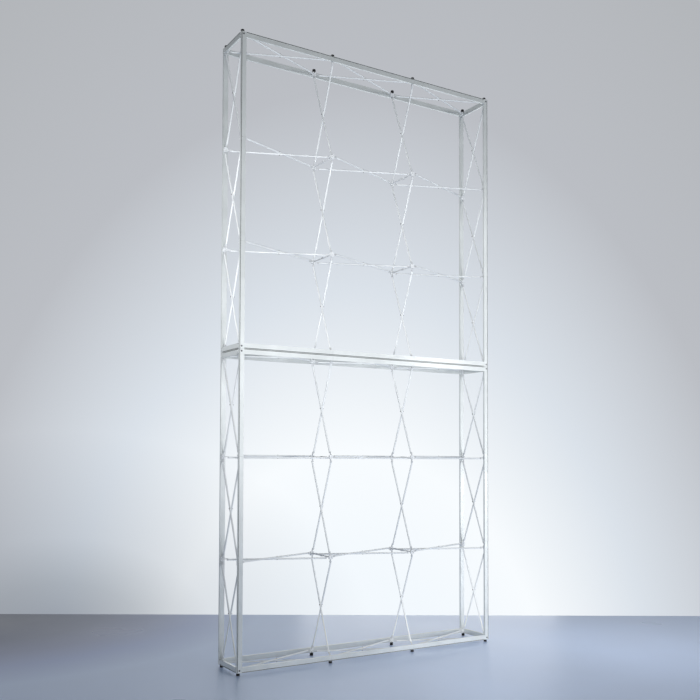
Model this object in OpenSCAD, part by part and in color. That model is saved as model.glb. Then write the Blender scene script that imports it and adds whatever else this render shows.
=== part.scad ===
// Two stacked pop up display frames with fabric channel bars.
// Millimetres. X runs along the wall, -Y is the front, +Z is up.
// The origin is on the floor under the middle of the frame.

/* [Frame] */
// Hub to hub distance across and up the wall
bay = 735; // [600:5:900]
// Distance between the front and the back hub planes
hub_gap = 285; // [240:5:340]
// Gap between the lower and the upper frame
stack_gap = 1; // [0.5:0.5:8]

/* [Channel bars] */
// Width of a bar's face
bar_w = 38; // [34:1:40]
// Distance from a bar's outer edge to the hubs' centre line
edge = 17; // [16:0.5:19]
// Depth of a bar behind its face
bar_d = 15; // [13:0.5:20]
// Wall thickness of the bar
bar_wall = 1.8; // [1.4:0.1:2.2]
// Width of the fabric groove
groove_w = 3.6; // [2.8:0.1:4]
// Depth of the fabric groove
groove_d = 11; // [8:0.5:12]
// Seam between two lengths of a bar
seam = 0.5; // [0.2:0.1:1]
// Length of the splice inside a seam
splice_l = 120; // [60:5:160]

/* [Hubs] */
// Side of the square hub
hub_w = 30; // [28:1:31]
// Thickness of the hub from front to back
hub_t = 14; // [13:0.5:18]
// Diameter across the hub's rounded corners
hub_corner_d = 38; // [36:0.5:42]
// Distance of a tube's pivot from the hub's centre
pivot_r = 10; // [9.5:0.1:10.5]
// Diameter of the pivot pins
pin_d = 3; // [2.5:0.1:3.2]
// Diameter of the hub's front bore
bore_d = 6; // [5:0.1:6.4]
// Depth of the hub's front bore
bore_l = 8; // [6:0.5:9]

/* [Scissor tubes] */
// Outside diameter of the tubes
tube_d = 12; // [10:0.5:14]
// Wall thickness of the tubes
tube_wall = 1; // [0.8:0.1:1.5]
// Thickness of the flat blade on a tube's end
blade_t = 6; // [5:0.1:6.4]
// Width of the blade
blade_w = 8; // [7:0.5:8]
// Distance from the pivot to the end of the tube
ferrule_l = 34; // [32:1:45]
// Diameter of the rivet where two tubes cross
rivet_d = 4; // [3:0.5:5]

/* [Locks] */
// Diameter of the locking arms
arm_d = 9; // [8:0.5:10]
// Diameter of the cross pin on the arm's tip
catch_pin_d = 4; // [3:0.5:5]

/* [Feet and knobs] */
// Diameter of the rubber feet
foot_d = 26; // [20:1:30]
// Height of the feet below the bars
foot_h = 20; // [10:1:25]
// Diameter of the rubber knobs on the top
knob_d = 26; // [20:1:30]
// Height of the knobs above the bars
knob_h = 20; // [10:1:25]
// Diameter of the stems that plug into the hubs
stem_d = 5.8; // [5:0.1:6]

/* [Hidden] */
// Bays across and up one frame
bays = 3;
// Running clearance between a part and the seat it slides or turns in
clear = 0.2;
// Radial clearance of a hole on its pin
pin_clear = 0.05;
// Hairline between two pieces that touch face to face
seat = 0.05;
// Overlap that lets a cut run past a face
over = 1;
// Room beyond the end of a pin or a tongue
end_free = 0.5;

frame_w = bays * bay + 2 * edge;
// The hubs lie behind the bars
bar_gap = 0.3;
hub_inset = bar_d + bar_gap + hub_t / 2;
depth = hub_gap + 2 * hub_inset;

// Slots in the hub, with room behind a blade's round end and beside it
blade_free = 0.8;
blade_side = 0.4;
slot_w = blade_t + 2 * clear;
slot_from = pivot_r - blade_w / 2 - blade_free;
slot_wall = hub_t / 2 - blade_w / 2 - blade_side;
// A pivot pin goes this far into the hub on each side of its slot
pin_grip = 3.3;
pin_half = slot_w / 2 + pin_grip;

// Scissor geometry
reach = bay - 2 * pivot_r;
pair_l = sqrt(reach * reach + hub_gap * hub_gap);
lean = atan(hub_gap / reach);
tube_off = tube_d / 2 + clear;
tube_l = pair_l - 2 * ferrule_l;
collar_l = 12;
collar_lip = 2;
plug_l = 18;
rivet_head_t = 1.5;
rivet_head_d = 2 * rivet_d;

// Locking arms: an eye between two ears, a rod and a tongue with a cross pin
ear_t = 2;
ear_r = 4.5;
ear_reach = 9;
lock_pivot = hub_t / 2 + ear_reach;
lock_reach = hub_gap / 2 - lock_pivot;
eye_t = 5.6;
eye_r = 4;
neck_h = 7;
arm_from = 9;
tongue_t = 6;
tongue_l = 16;
tongue_root = 2;
tongue_tip = 4;

// The fork that the tongue drops into: a web and two cheeks
cheek_t = 3.6;
cheek_x = tongue_t / 2 + clear + cheek_t / 2;
web_t = 5;
fork_l = 20;
fork_tip = 6;
fork_h = 13;

// Bar details
bar_cavity_from = 2 * bar_wall + groove_w;
bar_cavity_w = bar_w - bar_cavity_from - bar_wall;
wall_in = bar_wall + clear;
pin_reach = bore_l - end_free;
bar_pin_d = bore_d - 2 * pin_clear;
bolt_head_d = 9;
bolt_head_t = 1.2;

// How far a column tube's blade leans out of the hub at the inner edge of a depth bar,
// and the gap that keeps the depth bar's end clear of it
blade_out = (bar_w - edge - pivot_r) * tan(lean) + blade_w / 2 / cos(lean) - hub_t / 2;
depth_bar_gap = max(end_free, blade_out + 2 * clear);
tongue_in = hub_t / 2 - end_free;
plug_block_l = 14;
plug_block_w = edge + hub_w / 2 - bar_cavity_from - 2 * clear;

// Feet, plugs and knobs; hub_shy is the height of the bars' edge above a hub's flat
hub_shy = edge - hub_w / 2;
stem_l = 8;
neck_d = hub_t;
rubber_free = 0.5;
foot_edge = 1;
knob_edge = 3;

$fn = 40;

// ---- places ----

// Height of a frame's lower edge: 0 is the lower frame, 1 the upper frame
function base_z(level) = foot_h + level * (frame_w + stack_gap);
function hub_x(i) = (i - bays / 2) * bay;
function hub_z(level, j) = base_z(level) + edge + j * bay;
function is_inner(i, j) = i > 0 && i < bays && j > 0 && j < bays;

// Puts its children at one hub; side is -1 on the front and 1 on the back.
// A back hub is the mirror image, so that +Y in it points into the frame.
module at_hub(level, i, j, side)
  translate([hub_x(i), side * hub_gap / 2, hub_z(level, j)])
    mirror([0, side > 0 ? 1 : 0, 0])
      children();

// Turns a part that lies along X so that it stands along Z
module upright()
  rotate([0, -90, 0])
    children();

// A cylinder along Y from y1 to y2
module rod_y(d, y1, y2)
  translate([0, y2, 0])
    rotate([90, 0, 0])
      cylinder(d = d, h = y2 - y1);

// A cylinder along X, centred
module rod_x(d, l)
  rotate([0, 90, 0])
    cylinder(d = d, h = l, center = true);

// A block along Y from y1 to y2, centred in X and Z
module block_y(w, h, y1, y2)
  translate([-w / 2, y1, -h / 2])
    cube([w, y2 - y1, h]);

// ---- hubs ----

// One slot, towards +X, open on the side and into the frame
module hub_slot()
  translate([slot_from, -hub_t / 2 + slot_wall, -slot_w / 2])
    cube([hub_w, hub_t + over, slot_w]);

// The pivot pin's bore across a slot, drilled in from one side
module hub_pin_bore()
  translate([pivot_r, 0, -pin_half])
    cylinder(d = pin_d, h = pin_half + hub_w);

module hub_body()
  difference() {
    intersection() {
      cube([hub_w, hub_t, hub_w], center = true);
      rod_y(hub_corner_d, -hub_t, hub_t);
    }
    for (turn = [0 : 90 : 270])
      rotate([0, turn, 0]) {
        hub_slot();
        hub_pin_bore();
      }
    rod_y(bore_d, -hub_t / 2 - over, -hub_t / 2 + bore_l);
  }

// Two ears on the hub's inner face that hold a locking arm
module lock_ears()
  for (ear = [-1, 1])
    translate([ear * (eye_t / 2 + clear + ear_t / 2), 0, 0])
      difference() {
        union() {
          block_y(ear_t, 2 * ear_r, hub_t / 2, lock_pivot);
          translate([0, lock_pivot, 0])
            rod_x(2 * ear_r, ear_t);
        }
        translate([0, lock_pivot, 0])
          rod_x(pin_d, ear_t + over);
      }

module front_hubs(level)
  color("gainsboro")
    for (i = [0 : bays], j = [0 : bays])
      at_hub(level, i, j, -1)
        hub_body();

module back_hubs(level)
  color("gainsboro")
    for (i = [0 : bays], j = [0 : bays])
      at_hub(level, i, j, 1) {
        hub_body();
        if (is_inner(i, j))
          lock_ears();
      }

// ---- scissor tubes ----

// Places its child twice, as the two crossing tubes of one bay, side by side
module pair()
  for (rise = [-1, 1])
    translate([0, 0, rise * tube_off])
      rotate([0, 0, rise * lean])
        children();

module at_rows(level)
  for (i = [0 : bays - 1], j = [0 : bays])
    translate([hub_x(i) + bay / 2, 0, hub_z(level, j)])
      children();

module at_columns(level)
  for (i = [0 : bays], j = [0 : bays - 1])
    translate([hub_x(i), 0, hub_z(level, j) + bay / 2])
      upright()
        children();

module scissor_tube()
  difference() {
    rod_x(tube_d, tube_l);
    rod_x(tube_d - 2 * tube_wall, tube_l + over);
    cylinder(d = rivet_d + 2 * pin_clear, h = 2 * tube_d, center = true);
  }

module row_tubes(level)
  color("silver")
    at_rows(level)
      pair()
        scissor_tube();

module column_tubes(level)
  color("silver")
    at_columns(level)
      pair()
        scissor_tube();

// The fitting on one tube end, pivot at the origin, tube towards +X.
// lift is the tube's offset from the blade.
module tube_end(lift)
  difference() {
    union() {
      cylinder(d = blade_w, h = blade_t, center = true);
      translate([0, -blade_w / 2, -blade_t / 2])
        cube([ferrule_l - collar_l + over, blade_w, blade_t]);
      translate([ferrule_l - collar_l, -blade_w / 2, min(-blade_t / 2, lift)])
        cube([collar_l - collar_lip, blade_w, blade_t / 2 + abs(lift)]);
      translate([ferrule_l - collar_l / 2, 0, lift])
        rod_x(tube_d, collar_l);
      translate([ferrule_l + plug_l / 2 - over, 0, lift])
        rod_x(tube_d - 2 * tube_wall - 2 * pin_clear, plug_l);
    }
    cylinder(d = pin_d + 2 * pin_clear, h = blade_t + over, center = true);
  }

// The four fittings of one pair
module pair_ends()
  for (rise = [-1, 1], end = [-1, 1])
    rotate([0, 0, rise * lean])
      translate([end * pair_l / 2, 0, 0])
        rotate([0, 0, end > 0 ? 180 : 0])
          tube_end(rise * tube_off);

module row_tube_ends(level)
  color("lightgray")
    at_rows(level)
      pair_ends();

module column_tube_ends(level)
  color("lightgray")
    at_columns(level)
      pair_ends();

module rivet() {
  reach_z = 2 * tube_off + tube_d;
  cylinder(d = rivet_d, h = reach_z, center = true);
  for (end = [-1, 1])
    translate([0, 0, end * (reach_z + rivet_head_t) / 2])
      cylinder(d = rivet_head_d, h = rivet_head_t, center = true);
}

module scissor_rivets(level)
  color("dimgray") {
    at_rows(level)
      rivet();
    at_columns(level)
      rivet();
  }

// One pair's four pivot pins
module pair_pins()
  for (rise = [-1, 1], end = [-1, 1])
    rotate([0, 0, rise * lean])
      translate([end * pair_l / 2, 0, 0])
        cylinder(d = pin_d, h = 2 * pin_half, center = true);

module hub_pins(level)
  color("gray") {
    at_rows(level)
      pair_pins();
    at_columns(level)
      pair_pins();
  }

// ---- locks ----

module at_inner_hubs(level, side)
  for (i = [1 : bays - 1], j = [1 : bays - 1])
    at_hub(level, i, j, side)
      children();

// The fixed half on a front hub: a rod that ends in a fork with open notches
module catch_arm() {
  pin_y = hub_gap / 2;
  fork_from = pin_y - fork_l;
  rod_y(arm_d, hub_t / 2, fork_from);
  block_y(2 * cheek_x + cheek_t, fork_h, fork_from - web_t, fork_from);
  for (cheek = [-1, 1])
    translate([cheek * cheek_x, 0, 0])
      difference() {
        block_y(cheek_t, fork_h, fork_from - web_t, pin_y + fork_tip);
        translate([0, pin_y, 0])
          rod_x(catch_pin_d + 2 * clear, cheek_t + over);
        translate([0, pin_y, fork_h / 2])
          cube([cheek_t + over, catch_pin_d + 2 * clear, fork_h], center = true);
      }
}

module catch_arms(level)
  color("lightgray")
    at_inner_hubs(level, -1)
      catch_arm();

// The swinging half on a back hub, with the cross pin that drops in the notches
module lock_arm(level, i, j)
  color("lightgray")
    at_hub(level, i, j, 1)
      translate([0, lock_pivot, 0])
        difference() {
          union() {
            rod_x(2 * eye_r, eye_t);
            block_y(eye_t, neck_h, 0, arm_from);
            rod_y(arm_d, arm_from, lock_reach - tongue_l);
            block_y(tongue_t, arm_d, lock_reach - tongue_l - tongue_root, lock_reach + tongue_tip);
            translate([0, lock_reach, 0])
              rod_x(catch_pin_d, tongue_t + 2 * clear + 2 * cheek_t);
          }
          rod_x(pin_d + 2 * pin_clear, eye_t + over);
        }

module lock_pins(level)
  color("gray")
    at_inner_hubs(level, 1)
      translate([0, lock_pivot, 0])
        rod_x(pin_d, eye_t + 2 * clear + 2 * ear_t);

// ---- channel bars ----

// The bar's section: X from the outer edge inwards, Y from the face to the rear
module bar_section()
  difference() {
    square([bar_w, bar_d]);
    translate([bar_wall, -over])
      square([groove_w, groove_d + over]);
    translate([bar_cavity_from, bar_wall])
      square([bar_cavity_w, bar_d - 2 * bar_wall]);
  }

// The ends and seams of a bar, measured from the frame's outer edge
function bar_cuts(first, last) =
  concat([first], [for (k = [1 : bays - 1]) edge + k * bay], [last]);

// Splice in the bar's cavity with the pin that plugs into a hub
module splice() {
  translate([bar_cavity_from + clear, wall_in, -splice_l / 2])
    cube([bar_cavity_w - 2 * clear, bar_d - 2 * wall_in, splice_l]);
  translate([edge, 0, 0])
    rod_y(bar_pin_d, bar_d - wall_in - over, bar_d + bar_gap + pin_reach);
}

// Bolt through a post's end into the corner hub
module corner_bolt()
  translate([edge, 0, 0]) {
    rod_y(bolt_head_d, -bolt_head_t, -seat);
    rod_y(bar_pin_d, -over, bar_d + bar_gap + pin_reach);
  }

// A run of bar lengths along +Z with splices at the hubs
module channel_bar(first, last, bolts)
  color("silver") {
    cuts = bar_cuts(first, last);
    for (k = [0 : bays - 1]) {
      from = cuts[k] + (k > 0 ? seam / 2 : 0);
      to = cuts[k + 1] - (k < bays - 1 ? seam / 2 : 0);
      difference() {
        translate([0, 0, from])
          linear_extrude(height = to - from)
            bar_section();
        for (z = [for (c = [1 : bays - 1]) cuts[c]])
          translate([edge, 0, z])
            rod_y(bore_d, bar_d / 2, bar_d + over);
        for (z = bolts)
          translate([edge, 0, z])
            rod_y(bore_d, -over, bar_d + over);
      }
    }
    for (c = [1 : bays - 1])
      translate([0, 0, cuts[c]])
        splice();
    for (z = bolts)
      translate([0, 0, z])
        corner_bolt();
  }

// Places a part drawn from one frame's front left lower corner;
// right, back and flip mirror it to the other sides
module in_frame(level, right, back, flip)
  translate([0, 0, base_z(level) + frame_w / 2])
    mirror([right ? 1 : 0, 0, 0])
      mirror([0, back ? 1 : 0, 0])
        mirror([0, 0, flip ? 1 : 0])
          translate([-frame_w / 2, -depth / 2, -frame_w / 2])
            children();

module post_bar(level, right, back)
  in_frame(level, right, back, false)
    channel_bar(0, frame_w, [edge, frame_w - edge]);

module rail_bar(level, top, back)
  in_frame(level, false, back, !top)
    translate([0, 0, frame_w])
      rotate([0, 90, 0])
        channel_bar(bar_w + clear, frame_w - bar_w - clear, []);

// Plug in a depth bar's end with the tongue that slides into the hub's side slot.
// The bar's end lies at z = 0 and the hub above it.
module depth_plug() {
  translate([bar_cavity_from + clear, wall_in, -plug_block_l])
    cube([plug_block_w, bar_d - 2 * wall_in, plug_block_l + depth_bar_gap - seat]);
  translate([edge - blade_t / 2, edge - hub_w / 2, clear])
    cube([blade_t, hub_w / 2 - slot_from - clear, depth_bar_gap - clear + tongue_in]);
}

// A short bar from the front corner hub to the back corner hub
module depth_bar(level, right, top) {
  length = hub_gap - hub_t - 2 * depth_bar_gap;
  color("silver")
    in_frame(level, right, false, !top)
      translate([0, depth / 2, frame_w])
        rotate([0, 0, -90])
          rotate([0, 90, 0]) {
            translate([0, 0, -length / 2])
              linear_extrude(height = length)
                bar_section();
            for (end = [0, 1])
              mirror([0, 0, end])
                translate([0, 0, length / 2])
                  depth_plug();
          }
}

// ---- feet, stacking plugs and knobs ----

module at_edge_hubs(z)
  for (i = [0 : bays], side = [-1, 1])
    translate([hub_x(i), side * hub_gap / 2, z])
      children();

module feet()
  color([0.06, 0.06, 0.06])
    at_edge_hubs(0)
      rotate_extrude()
        polygon([
          [0, 0], [foot_d / 2 - foot_edge, 0], [foot_d / 2, foot_edge],
          [foot_d / 2 - foot_edge, foot_h - rubber_free],
          [neck_d / 2, foot_h - rubber_free], [neck_d / 2, foot_h + hub_shy],
          [stem_d / 2, foot_h + hub_shy], [stem_d / 2, foot_h + hub_shy + stem_l],
          [0, foot_h + hub_shy + stem_l]
        ]);

module stacking_plugs() {
  collar_h = stack_gap + 2 * hub_shy;
  color([0.1, 0.1, 0.1])
    at_edge_hubs(base_z(1) - stack_gap / 2)
      union() {
        cylinder(d = neck_d, h = collar_h, center = true);
        cylinder(d = stem_d, h = collar_h + 2 * stem_l, center = true);
      }
}

module top_knobs()
  color([0.06, 0.06, 0.06])
    at_edge_hubs(base_z(1) + frame_w)
      rotate_extrude()
        polygon([
          [0, -hub_shy - stem_l], [stem_d / 2, -hub_shy - stem_l], [stem_d / 2, -hub_shy],
          [neck_d / 2, -hub_shy], [neck_d / 2, rubber_free],
          [knob_d / 2 - foot_edge, rubber_free], [knob_d / 2, rubber_free + foot_edge],
          [knob_d / 2, knob_h - knob_edge], [knob_d / 2 - knob_edge, knob_h], [0, knob_h]
        ]);

front_hubs(0);  // lower_front_hubs
back_hubs(0);  // lower_back_hubs
hub_pins(0);  // lower_hub_pins
row_tubes(0);  // lower_row_tubes
column_tubes(0);  // lower_column_tubes
row_tube_ends(0);  // lower_row_tube_ends
column_tube_ends(0);  // lower_column_tube_ends
scissor_rivets(0);  // lower_scissor_rivets
catch_arms(0);  // lower_catch_arms
lock_pins(0);  // lower_lock_pins
lock_arm(0, 1, 1);  // lower_lock_arm_left_low
lock_arm(0, 2, 1);  // lower_lock_arm_right_low
lock_arm(0, 1, 2);  // lower_lock_arm_left_high
lock_arm(0, 2, 2);  // lower_lock_arm_right_high
post_bar(0, false, false);  // lower_front_left_bar
post_bar(0, true, false);  // lower_front_right_bar
rail_bar(0, true, false);  // lower_front_top_bar
rail_bar(0, false, false);  // lower_front_bottom_bar
post_bar(0, false, true);  // lower_back_left_bar
post_bar(0, true, true);  // lower_back_right_bar
rail_bar(0, true, true);  // lower_back_top_bar
rail_bar(0, false, true);  // lower_back_bottom_bar
depth_bar(0, false, true);  // lower_left_top_depth_bar
depth_bar(0, false, false);  // lower_left_bottom_depth_bar
depth_bar(0, true, true);  // lower_right_top_depth_bar
depth_bar(0, true, false);  // lower_right_bottom_depth_bar
front_hubs(1);  // upper_front_hubs
back_hubs(1);  // upper_back_hubs
hub_pins(1);  // upper_hub_pins
row_tubes(1);  // upper_row_tubes
column_tubes(1);  // upper_column_tubes
row_tube_ends(1);  // upper_row_tube_ends
column_tube_ends(1);  // upper_column_tube_ends
scissor_rivets(1);  // upper_scissor_rivets
catch_arms(1);  // upper_catch_arms
lock_pins(1);  // upper_lock_pins
lock_arm(1, 1, 1);  // upper_lock_arm_left_low
lock_arm(1, 2, 1);  // upper_lock_arm_right_low
lock_arm(1, 1, 2);  // upper_lock_arm_left_high
lock_arm(1, 2, 2);  // upper_lock_arm_right_high
post_bar(1, false, false);  // upper_front_left_bar
post_bar(1, true, false);  // upper_front_right_bar
rail_bar(1, true, false);  // upper_front_top_bar
rail_bar(1, false, false);  // upper_front_bottom_bar
post_bar(1, false, true);  // upper_back_left_bar
post_bar(1, true, true);  // upper_back_right_bar
rail_bar(1, true, true);  // upper_back_top_bar
rail_bar(1, false, true);  // upper_back_bottom_bar
depth_bar(1, false, true);  // upper_left_top_depth_bar
depth_bar(1, false, false);  // upper_left_bottom_depth_bar
depth_bar(1, true, true);  // upper_right_top_depth_bar
depth_bar(1, true, false);  // upper_right_bottom_depth_bar
feet();
stacking_plugs();
top_knobs();
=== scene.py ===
"""Looks of two stacked pop up display frames with fabric channel bars.

Metres. X runs along the wall, -Y is the front, +Z is up.
"""

import math

import bmesh
import bpy
from mathutils import Matrix, Vector


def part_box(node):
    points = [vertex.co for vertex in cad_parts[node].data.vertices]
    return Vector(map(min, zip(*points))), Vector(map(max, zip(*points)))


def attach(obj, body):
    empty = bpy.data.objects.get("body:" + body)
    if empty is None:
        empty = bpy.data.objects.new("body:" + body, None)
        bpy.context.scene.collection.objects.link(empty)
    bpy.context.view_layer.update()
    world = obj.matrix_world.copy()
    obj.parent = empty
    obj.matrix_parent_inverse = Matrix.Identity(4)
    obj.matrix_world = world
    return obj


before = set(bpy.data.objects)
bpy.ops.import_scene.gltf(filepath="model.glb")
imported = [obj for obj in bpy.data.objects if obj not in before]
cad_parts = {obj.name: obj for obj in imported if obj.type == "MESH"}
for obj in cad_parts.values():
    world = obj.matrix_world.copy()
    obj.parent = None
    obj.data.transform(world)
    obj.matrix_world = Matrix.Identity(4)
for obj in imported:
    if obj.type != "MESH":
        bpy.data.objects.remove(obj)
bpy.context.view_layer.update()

# ---- sizes that the pieces share with the frame ----

LEVELS = ("lower", "upper")
MM = 0.001
BOLT_FROM_EDGE = 17 * MM
CAD_HEAD_T = 1.2 * MM  # how far the CAD bolt's head stands out of its bar
HEAD_R = 5.0 * MM
HEAD_T = 2.2 * MM
HEAD_CORE_R = 0.05 * MM
HEAD_DOME = ((1.0, 0.0), (1.0, 0.35), (0.9, 0.75), (0.7, 1.0))  # shares of HEAD_R and HEAD_T
SOCKET_FLAT = 4.0 * MM
SOCKET_BOTTOM = 1.3 * MM
WASHER_INNER = 5.05 * MM
WASHER_OUTER = 7.5 * MM
WASHER_T = 0.8 * MM
WASHER_RIM = 0.25 * MM
RING_STEPS = 36

# ---- values that the materials share ----

# how far the painted shade in the grooves reaches
GROOVE_REACH = 12 * MM
SHADE_SAMPLES = 8
NOISE_LOW = 0.3
NOISE_HIGH = 0.7
BUMP_STRENGTH = 0.5
DRAWN_OUT = 0.02

# ---- camera, as solved from the hubs, feet and knobs ----

IMAGE_SIDE = 700
CAMERA_AT = Vector((-3.600, -5.684, 1.492))
YAW = math.radians(31.50)
PITCH = math.radians(1.92)
ROLL = math.radians(0.17)
FOCAL_PX = 868.6
CENTRE_Y_PX = 430.0
SENSOR_MM = 36

# ---- floor and background ----

FLOOR_EDGE_Y_PX = 615
FLOOR_REACH = 14.0
FLOOR_NEAR_REACH = 21.0
# where the painted floor shade is darkest, and how far it fades
FLOOR_SHADE_AT_PX = (-40, 617)
FLOOR_SHADE_SPAN = 4.0
GLOW_AT_PX = (352, 803)
GLOW_PX = (695, 1139)
DIM_AT_PX = (63, 643)
DIM_PX = (310, 212)
WALL_MIDDLE_PX = (356, 490)
WALL_ENDS = 0.62  # in radians from the wall's middle
ROOM_STARTS = 1.00
SOFT_STRENGTH = 0.25


def srgb(red, green, blue):
    """A linear colour from 0 to 255 display values."""
    def linear(value):
        share = value / 255
        return share / 12.92 if share <= 0.04045 else ((share + 0.055) / 1.055) ** 2.4
    return (linear(red), linear(green), linear(blue), 1.0)


def camera_axes():
    """The camera's right, up and forward directions."""
    flat = Vector((math.sin(YAW), math.cos(YAW), 0))
    forward = flat * math.cos(PITCH) + Vector((0, 0, math.sin(PITCH)))
    level = Vector((math.cos(YAW), -math.sin(YAW), 0))
    rise = level.cross(forward)
    right = level * math.cos(ROLL) + rise * math.sin(ROLL)
    up = rise * math.cos(ROLL) - level * math.sin(ROLL)
    return right, up, forward


def pixel_direction(x, y):
    """The direction in which the camera sees a pixel of the photograph."""
    right, up, forward = camera_axes()
    across = (x - IMAGE_SIDE / 2) / FOCAL_PX
    above = (CENTRE_Y_PX - y) / FOCAL_PX
    return (forward + right * across + up * above).normalized()


def add_camera():
    """The photograph's camera, with its picture shifted up as the photograph was cropped."""
    right, up, forward = camera_axes()
    data = bpy.data.cameras.new("camera")
    data.sensor_width = SENSOR_MM
    data.lens = FOCAL_PX / IMAGE_SIDE * SENSOR_MM
    data.shift_y = (CENTRE_Y_PX - IMAGE_SIDE / 2) / IMAGE_SIDE
    camera = bpy.data.objects.new("camera", data)
    turn = Matrix((right, up, -forward)).transposed().to_4x4()
    camera.matrix_world = Matrix.Translation(CAMERA_AT) @ turn
    bpy.context.scene.collection.objects.link(camera)
    bpy.context.scene.camera = camera


# ---- node helpers ----

def node_material(name):
    """An empty material with a Principled shader wired to its output."""
    material = bpy.data.materials.new(name)
    material.use_nodes = True
    return material, material.node_tree, material.node_tree.nodes["Principled BSDF"]


def noise(tree, scale, detail=3.0, stretch=(1, 1, 1)):
    """Noise in the frame's own metres, drawn out along the axes with a small stretch."""
    place = tree.nodes.new("ShaderNodeTexCoord")
    mapping = tree.nodes.new("ShaderNodeMapping")
    mapping.inputs["Scale"].default_value = stretch
    texture = tree.nodes.new("ShaderNodeTexNoise")
    texture.inputs["Scale"].default_value = scale
    texture.inputs["Detail"].default_value = detail
    tree.links.new(place.outputs["Object"], mapping.inputs["Vector"])
    tree.links.new(mapping.outputs["Vector"], texture.inputs["Vector"])
    return texture.outputs["Fac"]


def ramp(tree, factor, stops):
    """Colours at places from 0 to 1 along a factor."""
    node = tree.nodes.new("ShaderNodeValToRGB")
    elements = node.color_ramp.elements
    while len(elements) < len(stops):
        elements.new(0.5)
    for element, (position, colour) in zip(elements, stops):
        element.position = position
        element.color = colour
    tree.links.new(factor, node.inputs["Fac"])
    return node.outputs["Color"]


def spread(tree, factor, low, high):
    """Stretches the middle of a noise to run from low to high."""
    node = tree.nodes.new("ShaderNodeMapRange")
    node.inputs["From Min"].default_value = NOISE_LOW
    node.inputs["From Max"].default_value = NOISE_HIGH
    node.inputs["To Min"].default_value = low
    node.inputs["To Max"].default_value = high
    tree.links.new(factor, node.inputs["Value"])
    return node.outputs["Result"]


def shades(tree, factor, dark, light):
    """Two colours over the middle of a noise."""
    return ramp(tree, factor, [(NOISE_LOW, dark), (NOISE_HIGH, light)])


def bump(tree, shader, factor, height):
    """Relief of this height in metres."""
    node = tree.nodes.new("ShaderNodeBump")
    node.inputs["Strength"].default_value = BUMP_STRENGTH
    node.inputs["Distance"].default_value = height
    tree.links.new(factor, node.inputs["Height"])
    tree.links.new(node.outputs["Normal"], shader.inputs["Normal"])


def times(tree, colour, shade):
    """The product of two colours."""
    mix = tree.nodes.new("ShaderNodeMix")
    mix.data_type = "RGBA"
    mix.blend_type = "MULTIPLY"
    mix.inputs["Factor"].default_value = 1.0
    tree.links.new(colour, mix.inputs["A"])
    tree.links.new(shade, mix.inputs["B"])
    return mix.outputs["Result"]


def groove_painted_shade(tree, colour, reach):
    """Paints shade into a colour where walls stand close, the darkening that shade gives in a
    narrow groove.
    """
    shut = tree.nodes.new("ShaderNodeAmbientOcclusion")
    shut.samples = SHADE_SAMPLES
    shut.only_local = True
    shut.inputs["Distance"].default_value = reach
    # painted shade: dark where the surface is closed in, white where it is open
    painted_shade = ramp(tree, shut.outputs["AO"], [
        (0.30, srgb(52, 54, 56)),
        (0.62, srgb(255, 255, 255)),
    ])
    return times(tree, colour, painted_shade)


# ---- materials ----

def anodised(name, stretch):
    """Satin anodised extrusion with fine die lines along its length."""
    material, tree, shader = node_material(name)
    lines = noise(tree, scale=900, detail=2.0, stretch=stretch)
    cloud = noise(tree, scale=6)
    shader.inputs["Metallic"].default_value = 0.6
    colour = shades(tree, cloud, srgb(208, 212, 212), srgb(220, 224, 224))
    # the bars' colour carries painted shade in their grooves and between close walls
    tree.links.new(groove_painted_shade(tree, colour, GROOVE_REACH), shader.inputs["Base Color"])
    tree.links.new(spread(tree, lines, low=0.32, high=0.44), shader.inputs["Roughness"])
    bump(tree, shader, lines, height=0.03 * MM)
    return material


def drawn_tube():
    """Pale drawn tube with a dull anodised skin."""
    material, tree, shader = node_material("drawn_tube")
    grain = noise(tree, scale=700)
    cloud = noise(tree, scale=9)
    shader.inputs["Metallic"].default_value = 0.15
    colour = shades(tree, cloud, srgb(234, 237, 238), srgb(244, 247, 248))
    tree.links.new(colour, shader.inputs["Base Color"])
    tree.links.new(spread(tree, grain, low=0.60, high=0.70), shader.inputs["Roughness"])
    bump(tree, shader, grain, height=0.02 * MM)
    return material


def moulded(name, dark, light, rough):
    """Moulded nylon: fine spark-eroded grain and faint flow clouds."""
    material, tree, shader = node_material(name)
    grain = noise(tree, scale=1400, detail=4.0)
    cloud = noise(tree, scale=45)
    tree.links.new(shades(tree, cloud, dark, light), shader.inputs["Base Color"])
    tree.links.new(spread(tree, grain, *rough), shader.inputs["Roughness"])
    bump(tree, shader, grain, height=0.08 * MM)
    return material


def steel(name, dark, light):
    """Steel with a fine uneven grain."""
    material, tree, shader = node_material(name)
    grain = noise(tree, scale=1200)
    shader.inputs["Metallic"].default_value = 0.9
    tree.links.new(shades(tree, grain, dark, light), shader.inputs["Base Color"])
    tree.links.new(spread(tree, grain, low=0.25, high=0.45), shader.inputs["Roughness"])
    bump(tree, shader, grain, height=0.02 * MM)
    return material


def plain_steel():
    """The washers' steel."""
    return steel("plain_steel", srgb(165, 167, 169), srgb(192, 194, 196))


def dark_steel():
    """The steel of pins, rivets and bolt heads."""
    return steel("dark_steel", srgb(44, 46, 49), srgb(62, 64, 67))


def rubber():
    """Matt black rubber with a little dust."""
    material, tree, shader = node_material("rubber")
    grain = noise(tree, scale=800, detail=5.0)
    dust = noise(tree, scale=60)
    colour = shades(tree, dust, srgb(11, 11, 12), srgb(22, 22, 24))
    tree.links.new(colour, shader.inputs["Base Color"])
    tree.links.new(spread(tree, grain, low=0.65, high=0.85), shader.inputs["Roughness"])
    bump(tree, shader, grain, height=0.12 * MM)
    return material


def give(material, *nodes):
    """Makes a material the only one of these CAD nodes."""
    for name in nodes:
        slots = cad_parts[name].data.materials
        slots.clear()
        slots.append(material)


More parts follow.
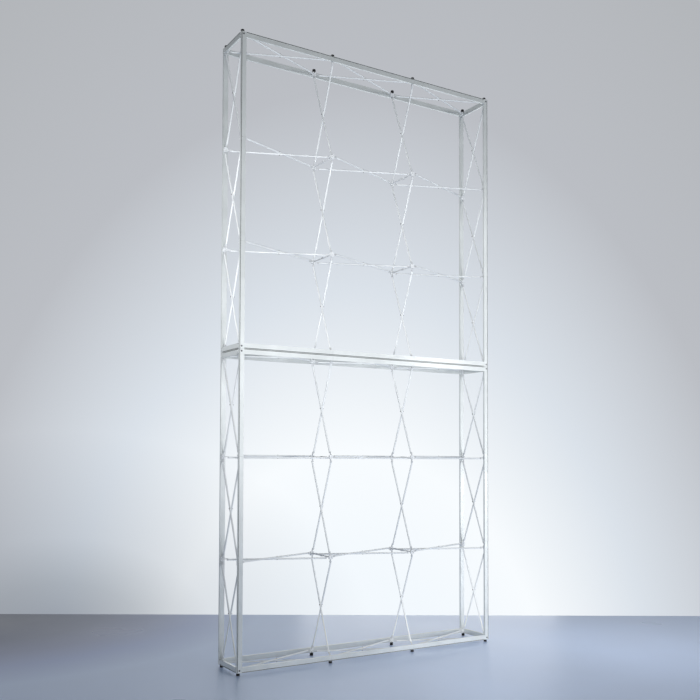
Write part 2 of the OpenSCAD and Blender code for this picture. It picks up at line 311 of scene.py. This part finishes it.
def dress_bars():
    """Rails, short bars and posts, each with its die lines along its own length."""
    along_x = anodised("anodised_along_x", (DRAWN_OUT, 1, 1))
    along_y = anodised("anodised_along_y", (1, DRAWN_OUT, 1))
    along_z = anodised("anodised_along_z", (1, 1, DRAWN_OUT))
    for level in LEVELS:
        for face in ("front", "back"):
            for side in ("left", "right"):
                give(along_z, f"{level}_{face}_{side}_bar")
            for side in ("top", "bottom"):
                give(along_x, f"{level}_{face}_{side}_bar")
        for side in ("left", "right"):
            for end in ("top", "bottom"):
                give(along_y, f"{level}_{side}_{end}_depth_bar")


def dress_lattice():
    """Tubes, their ends, hubs, pins and locks."""
    tube = drawn_tube()
    hub = moulded("hub_nylon", srgb(224, 227, 229), srgb(238, 241, 243), rough=(0.42, 0.55))
    lock = moulded("lock_nylon", srgb(214, 217, 220), srgb(230, 233, 235), rough=(0.38, 0.5))
    end = moulded("end_nylon", srgb(204, 207, 209), srgb(220, 223, 225), rough=(0.42, 0.55))
    pin = dark_steel()
    for level in LEVELS:
        give(tube, f"{level}_row_tubes", f"{level}_column_tubes")
        give(end, f"{level}_row_tube_ends", f"{level}_column_tube_ends")
        give(hub, f"{level}_front_hubs", f"{level}_back_hubs")
        give(pin, f"{level}_hub_pins", f"{level}_lock_pins", f"{level}_scissor_rivets")
        give(lock, f"{level}_catch_arms")
        for side in ("left", "right"):
            for height in ("low", "high"):
                give(lock, f"{level}_lock_arm_{side}_{height}")


def dress_rubber():
    """Feet, the plugs between the frames, and knobs."""
    give(rubber(), "feet", "stacking_plugs", "top_knobs")


# ---- floor, background and lamps ----

def floor_point(x, y):
    """Where the floor shows at a pixel."""
    ray = pixel_direction(x, y)
    return CAMERA_AT + ray * (-CAMERA_AT.z / ray.z)


def painted_floor_shade(tree, colour):
    """Paints shade onto the floor, darkest at its far left corner and fading over a set distance.
    """
    place = tree.nodes.new("ShaderNodeTexCoord")
    away = tree.nodes.new("ShaderNodeVectorMath")
    away.operation = "DISTANCE"
    away.inputs[1].default_value = floor_point(*FLOOR_SHADE_AT_PX)
    tree.links.new(place.outputs["Object"], away.inputs[0])
    share = tree.nodes.new("ShaderNodeMath")
    share.operation = "DIVIDE"
    share.inputs[1].default_value = FLOOR_SHADE_SPAN
    tree.links.new(away.outputs["Value"], share.inputs[0])
    shade = ramp(tree, share.outputs[0], [
        (0.16, srgb(124, 121, 124)),
        (0.34, srgb(149, 146, 153)),
        (0.46, srgb(180, 177, 188)),
        (0.57, srgb(212, 213, 227)),
        (0.70, srgb(255, 255, 255)),
    ])
    return times(tree, colour, shade)


def add_floor():
    """A floor that ends in a straight line where the photographed wall begins."""
    edge = floor_point(IMAGE_SIDE / 2, FLOOR_EDGE_Y_PX)
    away = Vector((math.sin(YAW), math.cos(YAW), 0))
    across = Vector((math.cos(YAW), -math.sin(YAW), 0))
    near = edge - away * FLOOR_NEAR_REACH
    corners = [
        edge - across * FLOOR_REACH,
        edge + across * FLOOR_REACH,
        near + across * FLOOR_REACH,
        near - across * FLOOR_REACH,
    ]
    mesh = bpy.data.meshes.new("floor")
    mesh.from_pydata([(p.x, p.y, 0) for p in corners], [], [(0, 3, 2, 1)])
    floor = bpy.data.objects.new("floor", mesh)
    bpy.context.scene.collection.objects.link(floor)
    material, tree, shader = node_material("floor_paint")
    cloud = noise(tree, scale=0.8)
    colour = shades(tree, cloud, srgb(192, 210, 240), srgb(202, 220, 250))
    # the floor's colour carries painted shade towards its far left corner
    tree.links.new(painted_floor_shade(tree, colour), shader.inputs["Base Color"])
    tree.links.new(spread(tree, cloud, low=0.26, high=0.36), shader.inputs["Roughness"])
    mesh.materials.append(material)


def share_along(tree, place, axis):
    """How much of a direction lies along an axis."""
    dot = tree.nodes.new("ShaderNodeVectorMath")
    dot.operation = "DOT_PRODUCT"
    dot.inputs[1].default_value = axis
    tree.links.new(place.outputs["Generated"], dot.inputs[0])
    return dot.outputs["Value"]


def angle_from(tree, place, axis):
    """The angle in radians between a direction and an axis."""
    angle = tree.nodes.new("ShaderNodeMath")
    angle.operation = "ARCCOSINE"
    tree.links.new(share_along(tree, place, axis), angle.inputs[0])
    return angle.outputs[0]


def wall_plane(tree, place):
    """Where a direction meets the wall: across and above, per metre ahead."""
    right, up, forward = camera_axes()
    ahead = share_along(tree, place, forward)
    meets = tree.nodes.new("ShaderNodeCombineXYZ")
    for socket, axis in (("X", right), ("Y", up)):
        ratio = tree.nodes.new("ShaderNodeMath")
        ratio.operation = "DIVIDE"
        tree.links.new(share_along(tree, place, axis), ratio.inputs[0])
        tree.links.new(ahead, ratio.inputs[1])
        tree.links.new(ratio.outputs[0], meets.inputs[socket])
    return meets.outputs[0]


def ellipse(tree, plane, at_px, size_px):
    """Distance on the wall from a pixel, 1 on the ellipse with this half width and height."""
    middle = ((at_px[0] - IMAGE_SIDE / 2) / FOCAL_PX, (CENTRE_Y_PX - at_px[1]) / FOCAL_PX, 0)
    offset = tree.nodes.new("ShaderNodeVectorMath")
    offset.operation = "SUBTRACT"
    offset.inputs[1].default_value = middle
    scaled = tree.nodes.new("ShaderNodeVectorMath")
    scaled.operation = "DIVIDE"
    scaled.inputs[1].default_value = (size_px[0] / FOCAL_PX, size_px[1] / FOCAL_PX, 1)
    length = tree.nodes.new("ShaderNodeVectorMath")
    length.operation = "LENGTH"
    tree.links.new(plane, offset.inputs[0])
    tree.links.new(offset.outputs[0], scaled.inputs[0])
    tree.links.new(scaled.outputs[0], length.inputs[0])
    return length.outputs["Value"]


def wall_colour(tree, place):
    """The photographed wall: a tall pale glow, grey further out and dim at its left foot."""
    plane = wall_plane(tree, place)
    glow = ramp(tree, ellipse(tree, plane, GLOW_AT_PX, GLOW_PX), [
        (0.20, srgb(243, 249, 254)),
        (0.31, srgb(248, 252, 255)),
        (0.45, srgb(219, 226, 234)),
        (0.625, srgb(187, 190, 196)),
        (0.875, srgb(179, 182, 186)),
    ])
    dim = ramp(tree, ellipse(tree, plane, DIM_AT_PX, DIM_PX), [
        (0.10, srgb(180, 182, 187)),
        (0.28, srgb(198, 200, 203)),
        (0.50, srgb(228, 229, 231)),
        (1.00, srgb(255, 255, 255)),
    ])
    return times(tree, glow, dim)


def room_colour(tree, place):
    """The rest of the room: pale near eye level, dim towards the ceiling."""
    parts = tree.nodes.new("ShaderNodeSeparateXYZ")
    tree.links.new(place.outputs["Generated"], parts.inputs[0])
    height = tree.nodes.new("ShaderNodeMapRange")
    height.inputs["From Min"].default_value = -1.0
    height.inputs["From Max"].default_value = 1.0
    tree.links.new(parts.outputs["Z"], height.inputs["Value"])
    return ramp(tree, height.outputs["Result"], [
        (0.30, srgb(158, 170, 194)),
        (0.48, srgb(196, 204, 218)),
        (0.51, srgb(249, 252, 254)),
        (0.62, srgb(249, 252, 254)),
        (0.67, srgb(205, 209, 212)),
        (0.72, srgb(112, 116, 118)),
        (0.85, srgb(92, 95, 98)),
    ])


def seen_colour(tree):
    """The wall before the camera, and the room in every other direction."""
    place = tree.nodes.new("ShaderNodeTexCoord")
    aside = tree.nodes.new("ShaderNodeMapRange")
    aside.interpolation_type = "SMOOTHSTEP"
    aside.inputs["From Min"].default_value = WALL_ENDS
    aside.inputs["From Max"].default_value = ROOM_STARTS
    middle = pixel_direction(*WALL_MIDDLE_PX)
    tree.links.new(angle_from(tree, place, middle), aside.inputs["Value"])
    mix = tree.nodes.new("ShaderNodeMix")
    mix.data_type = "RGBA"
    tree.links.new(aside.outputs["Result"], mix.inputs["Factor"])
    tree.links.new(wall_colour(tree, place), mix.inputs["A"])
    tree.links.new(room_colour(tree, place), mix.inputs["B"])
    return mix.outputs["Result"]


def either(tree, one, other):
    """1 where at least one of two flags is 1."""
    larger = tree.nodes.new("ShaderNodeMath")
    larger.operation = "MAXIMUM"
    tree.links.new(one, larger.inputs[0])
    tree.links.new(other, larger.inputs[1])
    return larger.outputs[0]


def add_world():
    """Camera, glossy and transmission rays see wall and room; the rest is plain soft light."""
    world = bpy.data.worlds.new("studio")
    bpy.context.scene.world = world
    world.use_nodes = True
    tree = world.node_tree
    tree.nodes.clear()
    rays = tree.nodes.new("ShaderNodeLightPath").outputs
    seen = either(tree, rays["Is Camera Ray"], rays["Is Glossy Ray"])
    seen = either(tree, seen, rays["Is Transmission Ray"])
    soft = tree.nodes.new("ShaderNodeBackground")
    soft.inputs["Color"].default_value = srgb(236, 241, 246)
    soft.inputs["Strength"].default_value = SOFT_STRENGTH
    shown = tree.nodes.new("ShaderNodeBackground")
    tree.links.new(seen_colour(tree), shown.inputs["Color"])
    mix = tree.nodes.new("ShaderNodeMixShader")
    tree.links.new(seen, mix.inputs[0])
    tree.links.new(soft.outputs[0], mix.inputs[1])
    tree.links.new(shown.outputs[0], mix.inputs[2])
    out = tree.nodes.new("ShaderNodeOutputWorld")
    tree.links.new(mix.outputs[0], out.inputs["Surface"])


def place_lamp(data, at, aim):
    """Stands a lamp at one point and turns it to another."""
    lamp = bpy.data.objects.new(data.name, data)
    lamp.location = at
    lamp.rotation_mode = "QUATERNION"
    lamp.rotation_quaternion = (Vector(aim) - Vector(at)).to_track_quat("-Z", "Y")
    bpy.context.scene.collection.objects.link(lamp)


def add_panel(name, at, aim, wide, high, watts):
    """A soft rectangular lamp, wide from side to side."""
    data = bpy.data.lights.new(name, "AREA")
    data.shape = "RECTANGLE"
    data.size = wide
    data.size_y = high
    data.energy = watts
    place_lamp(data, at, aim)


def add_spot(name, at, aim, degrees, blend, radius, watts):
    """A lamp with a cone this wide, its edge soft by the blend and its shadows by the radius."""
    data = bpy.data.lights.new(name, "SPOT")
    data.energy = watts
    data.shadow_soft_size = radius
    data.spot_size = math.radians(degrees)
    data.spot_blend = blend
    place_lamp(data, at, aim)


def add_spots():
    """Three spots from the front left, and light as through a window at the far left."""
    add_spot("key", at=(-3.2, -5.2, 1.2), aim=(-0.7, 0, 3.1),
             degrees=46, blend=1.0, radius=0.7, watts=960)
    add_spot("low_key", at=(-2.6, -5.0, 1.0), aim=(0.7, 0, 0.8),
             degrees=44, blend=1.0, radius=0.5, watts=430)
    add_spot("foot_key", at=(-1.5, -4.0, 0.5), aim=(0.9, 0, 0.1),
             degrees=21, blend=1.0, radius=0.2, watts=300)
    add_spot("window", at=(-4.2, -0.8, 3.05), aim=(-1.1, 0, 3.05),
             degrees=30, blend=0.35, radius=0.15, watts=200)


def add_panels():
    """Soft light for the rails and the right posts, for the back and for the floor."""
    add_panel("front_panel", at=(0.5, -4.6, 2.3), aim=(0, 0, 2.5),
              wide=2.8, high=2.2, watts=22)
    add_panel("post_strip", at=(1.6, -1.5, 3.2), aim=(1.1, -0.1, 3.2),
              wide=0.4, high=1.8, watts=7)
    add_panel("fill", at=(4.6, -4.2, 0.9), aim=(0, 0, 0.9),
              wide=4.2, high=2.6, watts=64)
    add_panel("rear", at=(1.0, 4.6, 4.8), aim=(0, 0, 1.8),
              wide=2.4, high=2.4, watts=60)
    add_panel("floor_strip", at=(4.6, 5.4, 0.8), aim=(0, 0, 0.8),
              wide=4.0, high=1.2, watts=20)
    add_panel("floor_patch", at=(2.0, -1.0, 1.4), aim=(2.0, -1.0, 0),
              wide=1.2, high=1.2, watts=8)


# ---- small pieces ----

def turned(mesh, section, material):
    """Revolves a closed section of (radius, y) pairs about Y; a radius may depend on the turn."""
    rows = []
    for step in range(RING_STEPS):
        turn = 2 * math.pi * step / RING_STEPS
        row = []
        for radius, y in section:
            r = radius(turn) if callable(radius) else radius
            row.append(mesh.verts.new((r * math.cos(turn), y, r * math.sin(turn))))
        rows.append(row)
    for step, row in enumerate(rows):
        after = rows[(step + 1) % RING_STEPS]
        for k in range(len(section)):
            m = (k + 1) % len(section)
            face = mesh.faces.new((row[k], row[m], after[m], after[k]))
            face.material_index = material


def hexagon(turn):
    """Distance from the middle to the wall of the hexagon socket in one direction."""
    sixth = math.pi / 3
    return SOCKET_FLAT / 2 / math.cos((turn + sixth / 2) % sixth - sixth / 2)


def washer_section():
    """Flat washer round the head, with its outer rim broken."""
    return [
        (WASHER_INNER, 0), (WASHER_OUTER, 0), (WASHER_OUTER, -WASHER_T + WASHER_RIM),
        (WASHER_OUTER - WASHER_RIM, -WASHER_T), (WASHER_INNER, -WASHER_T),
    ]


def head_section():
    """Button head over the CAD bolt's head, with a hexagon socket in its top."""
    dome = [(across * HEAD_R, -out * HEAD_T) for across, out in HEAD_DOME]
    socket = [(hexagon, -HEAD_T), (hexagon, -SOCKET_BOTTOM), (HEAD_CORE_R, -SOCKET_BOTTOM)]
    return [(HEAD_CORE_R, 0)] + dome + socket


def bolt_mesh():
    """Washer and head in one mesh, with their outer end towards -Y."""
    mesh = bmesh.new()
    turned(mesh, washer_section(), material=0)
    turned(mesh, head_section(), material=1)
    bmesh.ops.recalc_face_normals(mesh, faces=mesh.faces)
    data = bpy.data.meshes.new("post_bolt")
    mesh.to_mesh(data)
    mesh.free()
    data.materials.append(plain_steel())
    data.materials.append(dark_steel())
    return data


def add_bolt(shape, node, end, place, turn):
    """One bolt at a post's end, turned about Z to face outwards."""
    bolt = bpy.data.objects.new(f"{node}_{end}_bolt", shape)
    bolt.matrix_world = Matrix.Translation(place) @ Matrix.Rotation(turn, 4, "Z")
    bpy.context.scene.collection.objects.link(bolt)
    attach(bolt, node)


def post_bolts():
    """A socket head and its washer at both ends of each post."""
    shape = bolt_mesh()
    for level in LEVELS:
        for face in ("front", "back"):
            for side in ("left", "right"):
                node = f"{level}_{face}_{side}_bar"
                low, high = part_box(node)
                x = low.x + BOLT_FROM_EDGE if side == "left" else high.x - BOLT_FROM_EDGE
                y = low.y + CAD_HEAD_T if face == "front" else high.y - CAD_HEAD_T
                turn = 0 if face == "front" else math.pi
                add_bolt(shape, node, "foot", (x, y, low.z + BOLT_FROM_EDGE), turn)
                add_bolt(shape, node, "head", (x, y, high.z - BOLT_FROM_EDGE), turn)


bpy.context.scene.view_settings.view_transform = "Standard"
add_camera()
dress_bars()
dress_lattice()
dress_rubber()
post_bolts()
add_floor()
add_world()
add_spots()
add_panels()
